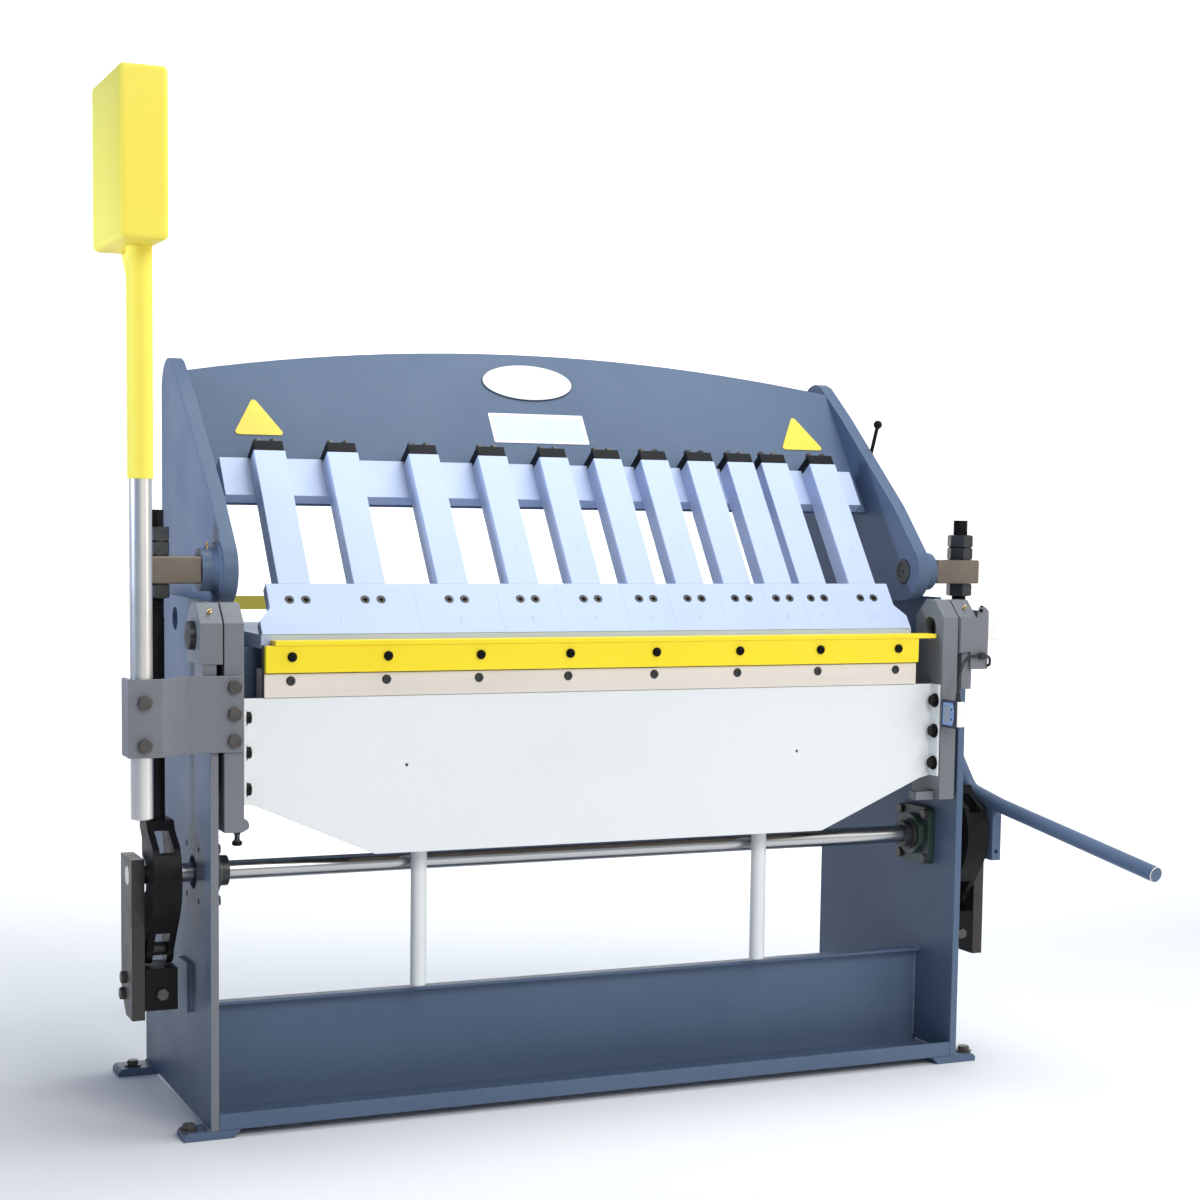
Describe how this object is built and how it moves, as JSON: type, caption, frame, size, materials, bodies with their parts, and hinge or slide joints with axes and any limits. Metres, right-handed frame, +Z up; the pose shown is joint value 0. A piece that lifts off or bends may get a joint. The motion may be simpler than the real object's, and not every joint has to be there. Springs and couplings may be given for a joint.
{
  "type": "pan brake",
  "caption": "Floor-standing manual pan brake with leaning segmented fingers, swinging yellow-edged apron, counterweight arm, clamping handle and angle display.",
  "frame": {"origin": "on the floor, under the middle of the machine's whole width and depth", "axes": "+X along the fold to the operator's right, +Y away from the operator, +Z up"},
  "size_m": [1.8759, 0.9902, 1.804],
  "materials": {
    "frame_paint": "semi-gloss slate-blue paint",
    "apron_paint": "off-white gloss paint",
    "yellow_paint": "gloss signal-yellow paint",
    "finger_steel": "ground hardened steel",
    "bar_steel": "milled steel",
    "black_steel": "black oxide",
    "dark_steel": "dark mill-scale steel",
    "rod_chrome": "polished bar",
    "cast_green": "green enamel casting",
    "bearing_steel": "turned steel",
    "brass": "plain brass",
    "white_plastic": "white moulded housing",
    "dark_plastic": "dark blue-black moulded bezel",
    "button_plastic": "dark keys",
    "cable_rubber": "black cable sheath",
    "plate_white": "bare enamelled plate"
  },
  "bodies": {
    "root": {"side_plate_left": "frame_paint", "side_plate_right": "frame_paint", "feet": "frame_paint", "foot_bolts": "black_steel", "base_member": "frame_paint", "bed_plate": "finger_steel", "bed_webs": "frame_paint", "rear_stop_bar": "yellow_paint", "hinge_blocks": "frame_paint", "block_nipples": "brass", "bearing_housings": "cast_green", "bearing_inserts": "bearing_steel", "bearing_bolts": "black_steel", "beam_pivot_pins": "bearing_steel", "sensor_bracket": "frame_paint", "encoder_box": "white_plastic", "sensor_fittings": "black_steel"},
    "beam": {"cheek_left": "frame_paint", "cheek_right": "frame_paint", "back_plate": "frame_paint", "finger_rail": "finger_steel", "finger_bars": "finger_steel", "finger_shoes": "finger_steel", "finger_clamps": "black_steel", "finger_screws": "black_steel", "nameplates": "plate_white", "hub_nipples": "brass"},
    "lock_lever": {"lock_lever": "black_steel"},
    "clamp_shaft": {"cross_shaft": "bearing_steel", "shaft_collars": "bearing_steel", "crank_arms": "dark_steel", "crank_blocks": "black_steel", "crank_bolts": "black_steel", "crank_pins": "bearing_steel", "clamp_handle": "frame_paint"},
    "rod_left": {"tie_rod_left": "black_steel"},
    "rod_right": {"tie_rod_right": "black_steel"},
    "swivel_left": {"swivel_left": "dark_steel"},
    "swivel_right": {"swivel_right": "dark_steel"},
    "apron": {"arm_left": "frame_paint", "arm_right": "frame_paint", "hinge_pins": "bearing_steel", "apron_plate": "apron_paint", "apron_beam": "dark_steel", "bending_bar": "yellow_paint", "steel_bars": "bar_steel", "apron_bolts": "black_steel", "arm_bolts": "black_steel", "apron_posts": "apron_paint", "arm_stops": "dark_steel", "counterweight_bracket": "frame_paint", "counterweight_rod": "rod_chrome", "counterweight_sleeve": "yellow_paint", "counterweight": "yellow_paint", "display_housing": "white_plastic", "display_panel": "dark_plastic", "display_cable": "cable_rubber"},
    "button_1": {"display_button_1": "button_plastic"},
    "button_2": {"display_button_2": "button_plastic"},
    "button_3": {"display_button_3": "button_plastic"}
  },
  "joints": [
    {"name": "beam_lift", "type": "hinge", "parent": "root", "child": "beam", "pos_m": [0, 0.4555, 0.9], "axis": [-1, 0, 0], "range_deg": [0, 6.27]},
    {"name": "clamp_shaft", "type": "hinge", "parent": "root", "child": "clamp_shaft", "pos_m": [0, 0.0525, 0.453], "axis": [-1, 0, 0], "range_deg": [0, 53.7]},
    {"name": "rod_left_pin", "type": "hinge", "parent": "clamp_shaft", "child": "rod_left", "pos_m": [-0.828, 0.0525, 0.319], "axis": [-1, 0, 0], "range_deg": [-43.14, 0]},
    {"name": "rod_right_pin", "type": "hinge", "parent": "clamp_shaft", "child": "rod_right", "pos_m": [0.828, 0.0525, 0.319], "axis": [-1, 0, 0], "range_deg": [-43.14, 0]},
    {"name": "swivel_left_pin", "type": "hinge", "parent": "beam", "child": "swivel_left", "pos_m": [-0.79, 0.0525, 0.991], "axis": [-1, 0, 0], "range_deg": [0, 4.38]},
    {"name": "swivel_right_pin", "type": "hinge", "parent": "beam", "child": "swivel_right", "pos_m": [0.79, 0.0525, 0.991], "axis": [-1, 0, 0], "range_deg": [0, 4.38]},
    {"name": "apron_swing", "type": "hinge", "parent": "root", "child": "apron", "pos_m": [0, -0.0345, 0.88], "axis": [-1, 0, 0], "range_deg": [0, 130]},
    {"name": "lock_lever", "type": "hinge", "parent": "beam", "child": "lock_lever", "pos_m": [0.727, 0.2685, 1.18], "axis": [-1, 0, 0], "range_deg": [0, 40]},
    {"name": "button_1", "type": "slide", "parent": "apron", "child": "button_1", "axis": [1, 0, 0], "range_m": [0, 0.0015], "stiffness_N_per_m": 600, "springref_m": -0.0005},
    {"name": "button_2", "type": "slide", "parent": "apron", "child": "button_2", "axis": [1, 0, 0], "range_m": [0, 0.0015], "stiffness_N_per_m": 600, "springref_m": -0.0005},
    {"name": "button_3", "type": "slide", "parent": "apron", "child": "button_3", "axis": [1, 0, 0], "range_m": [0, 0.0015], "stiffness_N_per_m": 600, "springref_m": -0.0005}
  ],
  "couplings": [
    {"joint": "clamp_shaft", "follows": "beam_lift", "ratio": 8.5305},
    {"joint": "rod_left_pin", "follows": "beam_lift", "ratio": -6.8472},
    {"joint": "swivel_left_pin", "follows": "beam_lift", "ratio": 0.6832},
    {"joint": "rod_right_pin", "follows": "beam_lift", "ratio": -6.8472},
    {"joint": "swivel_right_pin", "follows": "beam_lift", "ratio": 0.6832}
  ]
}
